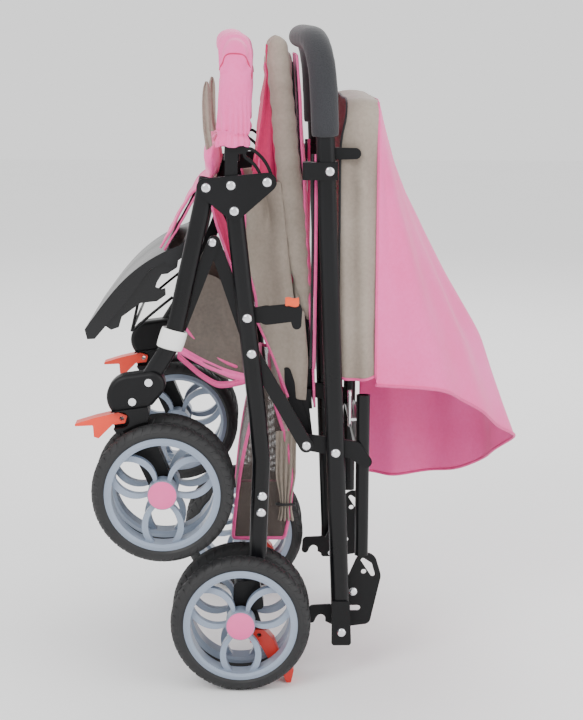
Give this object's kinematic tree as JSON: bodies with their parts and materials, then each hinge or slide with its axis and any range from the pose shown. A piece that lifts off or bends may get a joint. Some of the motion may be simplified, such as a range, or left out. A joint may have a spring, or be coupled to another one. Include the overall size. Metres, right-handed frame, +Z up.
{
  "type": "folding baby stroller",
  "caption": "Folded baby stroller with twin wheels, swivelling casters, a reversible U handle, a bumper bar, seat, hood and storage basket.",
  "frame": {"origin": "on the floor, midway between the rear wheels and straight under the rear axle, with the stroller folded and standing", "axes": "+Z up, forward travel is -X, the stroller's left side is -Y"},
  "size_m": [0.59, 0.4906, 0.8532],
  "materials": {
    "frame_black": "semi-gloss black enamel",
    "plastic_black": "fine-grained black plastic",
    "rim_grey": "light blue-grey plastic",
    "tyre_black": "foamed rubber with curved grooves",
    "cap_pink": "pink plastic",
    "lever_red": "orange-red plastic",
    "pedal_red": "red plastic",
    "chrome": "domed bright rivets",
    "grip_foam": "dark grey foam",
    "fabric_pink": "pink woven polyester",
    "fabric_grey": "warm grey woven polyester",
    "mesh_grey": "open mesh and grey cloth",
    "steel": "plain steel axle"
  },
  "bodies": {
    "front_frame": {"front_leg_left": "frame_black", "front_leg_right": "frame_black", "caster_socket_left": "plastic_black", "caster_socket_right": "plastic_black", "front_rivets": "chrome", "front_cross_tube": "frame_black", "basket_front": "mesh_grey"},
    "front_braces": {"front_braces": "frame_black"},
    "rear_braces": {"rear_braces": "frame_black"},
    "footrest": {"footrest_board": "plastic_black"},
    "rear_frame": {"rear_leg_left": "frame_black", "rear_leg_right": "frame_black", "rear_housing_left": "plastic_black", "rear_housing_right": "plastic_black", "rear_axle": "steel", "joint_plates": "frame_black", "rear_rivets": "chrome", "storage_basket": "mesh_grey"},
    "fold_catches": {"fold_catches": "plastic_black"},
    "bumper": {"bumper_bar": "plastic_black", "bumper_cover": "fabric_pink", "bumper_brackets": "frame_black"},
    "fold_links": {"fold_links": "frame_black"},
    "strut": {"strut_tubes": "frame_black", "strut_cross_tube": "frame_black", "bracket_plates": "frame_black", "latch_plates": "frame_black", "strut_rivets": "chrome"},
    "handle": {"handle_tube": "frame_black", "handle_grip": "grip_foam", "handle_sockets": "plastic_black", "handle_clamps": "plastic_black", "handle_rivets": "chrome", "canopy_posts": "frame_black"},
    "canopy": {"canopy_hood": "fabric_pink", "canopy_band": "fabric_grey"},
    "seat": {"seat_board": "plastic_black", "seat_cushion": "fabric_grey"},
    "backrest": {"backrest_board": "plastic_black", "backrest_pad": "fabric_grey"},
    "caster_left": {"caster_fork_left": "plastic_black", "caster_axle_left": "steel"},
    "swivel_lock_left": {"swivel_lock_left": "lever_red"},
    "front_wheels_left": {"front_tyres_left": "tyre_black", "front_rims_left": "rim_grey", "front_hub_cap_left": "cap_pink"},
    "rear_wheels_left": {"rear_tyres_left": "tyre_black", "rear_rims_left": "rim_grey", "rear_hub_cap_left": "cap_pink"},
    "brake_left": {"brake_pedal_left": "pedal_red"},
    "caster_right": {"caster_fork_right": "plastic_black", "caster_axle_right": "steel"},
    "swivel_lock_right": {"swivel_lock_right": "lever_red"},
    "front_wheels_right": {"front_tyres_right": "tyre_black", "front_rims_right": "rim_grey", "front_hub_cap_right": "cap_pink"},
    "rear_wheels_right": {"rear_tyres_right": "tyre_black", "rear_rims_right": "rim_grey", "rear_hub_cap_right": "cap_pink"},
    "brake_right": {"brake_pedal_right": "pedal_red"}
  },
  "joints": [
    {"name": "fold", "type": "hinge", "parent": "front_frame", "child": "rear_frame", "pos_m": [-0.042, 0, 0.652], "axis": [0, -1, 0], "range_deg": [0, 57]},
    {"name": "front_brace_turn", "type": "hinge", "parent": "front_frame", "child": "front_braces", "pos_m": [-0.082, 0, 0.458], "axis": [0, 1, 0], "range_deg": [-0.5, 31.72]},
    {"name": "rear_brace_turn", "type": "hinge", "parent": "rear_frame", "child": "rear_braces", "pos_m": [0.0145, 0, 0.441], "axis": [0, -1, 0], "range_deg": [-0.5, 32.82]},
    {"name": "bumper_turn", "type": "hinge", "parent": "rear_frame", "child": "bumper", "pos_m": [-0.011, 0, 0.655], "axis": [0, 1, 0], "range_deg": [-0.5, 25.5]},
    {"name": "link_turn", "type": "hinge", "parent": "rear_frame", "child": "fold_links", "pos_m": [0.0145, 0, 0.441], "axis": [0, -1, 0], "range_deg": [-0.5, 72.52]},
    {"name": "strut_turn", "type": "hinge", "parent": "fold_links", "child": "strut", "pos_m": [0.085, 0, 0.317], "axis": [0, 1, 0], "range_deg": [-0.5, 107.89]},
    {"name": "handle_turn", "type": "hinge", "parent": "strut", "child": "handle", "pos_m": [0.133, 0, 0.062], "axis": [0, 1, 0], "range_deg": [-0.5, 40.4]},
    {"name": "seat_turn", "type": "hinge", "parent": "strut", "child": "seat", "pos_m": [0.085, 0, 0.317], "axis": [0, -1, 0], "range_deg": [-0.5, 67.13]},
    {"name": "backrest_turn", "type": "hinge", "parent": "seat", "child": "backrest", "pos_m": [0.085, 0, 0.317], "axis": [0, 1, 0], "range_deg": [-0.5, 112.66]},
    {"name": "canopy_swing", "type": "hinge", "parent": "handle", "child": "canopy", "pos_m": [0.146, 0, 0.692], "axis": [0, -1, 0], "range_deg": [0, 30]},
    {"name": "footrest_tilt", "type": "hinge", "parent": "front_frame", "child": "footrest", "pos_m": [-0.066, 0, 0.572], "axis": [0, 1, 0], "range_deg": [0, 25]},
    {"name": "catch_release", "type": "hinge", "parent": "rear_frame", "child": "fold_catches", "pos_m": [0.009, 0, 0.487], "axis": [0, -1, 0], "range_deg": [0, 12]},
    {"name": "caster_swivel_left", "type": "hinge", "parent": "front_frame", "child": "caster_left", "pos_m": [-0.14, -0.2, 0.372], "axis": [-0.1392, 0, 0.9903], "continuous": true},
    {"name": "front_wheel_spin_left", "type": "hinge", "parent": "caster_left", "child": "front_wheels_left", "pos_m": [-0.099, 0, 0.265], "axis": [0, 1, 0], "continuous": true},
    {"name": "swivel_lock_tilt_left", "type": "hinge", "parent": "caster_left", "child": "swivel_lock_left", "pos_m": [-0.151, 0, 0.358], "axis": [0, 1, 0], "range_deg": [0, 10]},
    {"name": "rear_wheel_spin_left", "type": "hinge", "parent": "rear_frame", "child": "rear_wheels_left", "pos_m": [0, 0, 0.09], "axis": [0, 1, 0], "continuous": true},
    {"name": "brake_press_left", "type": "hinge", "parent": "rear_frame", "child": "brake_left", "pos_m": [0.024, 0, 0.066], "axis": [0, 1, 0], "range_deg": [0, 16]},
    {"name": "caster_swivel_right", "type": "hinge", "parent": "front_frame", "child": "caster_right", "pos_m": [-0.14, 0.2, 0.372], "axis": [-0.1392, 0, 0.9903], "continuous": true},
    {"name": "front_wheel_spin_right", "type": "hinge", "parent": "caster_right", "child": "front_wheels_right", "pos_m": [-0.099, 0, 0.265], "axis": [0, 1, 0], "continuous": true},
    {"name": "swivel_lock_tilt_right", "type": "hinge", "parent": "caster_right", "child": "swivel_lock_right", "pos_m": [-0.151, 0, 0.358], "axis": [0, 1, 0], "range_deg": [0, 10]},
    {"name": "rear_wheel_spin_right", "type": "hinge", "parent": "rear_frame", "child": "rear_wheels_right", "pos_m": [0, 0, 0.09], "axis": [0, 1, 0], "continuous": true},
    {"name": "brake_press_right", "type": "hinge", "parent": "rear_frame", "child": "brake_right", "pos_m": [0.024, 0, 0.066], "axis": [0, 1, 0], "range_deg": [0, 16]}
  ],
  "couplings": [
    {"joint": "front_brace_turn", "follows": "fold", "ratio": 0.54774},
    {"joint": "rear_brace_turn", "follows": "fold", "ratio": 0.56702},
    {"joint": "bumper_turn", "follows": "fold", "ratio": 0.4386},
    {"joint": "link_turn", "follows": "fold", "ratio": 1.2634},
    {"joint": "strut_turn", "follows": "fold", "ratio": 1.884},
    {"joint": "handle_turn", "follows": "fold", "ratio": 0.69994},
    {"joint": "seat_turn", "follows": "fold", "ratio": 1.1689},
    {"joint": "backrest_turn", "follows": "fold", "ratio": 1.9677}
  ]
}
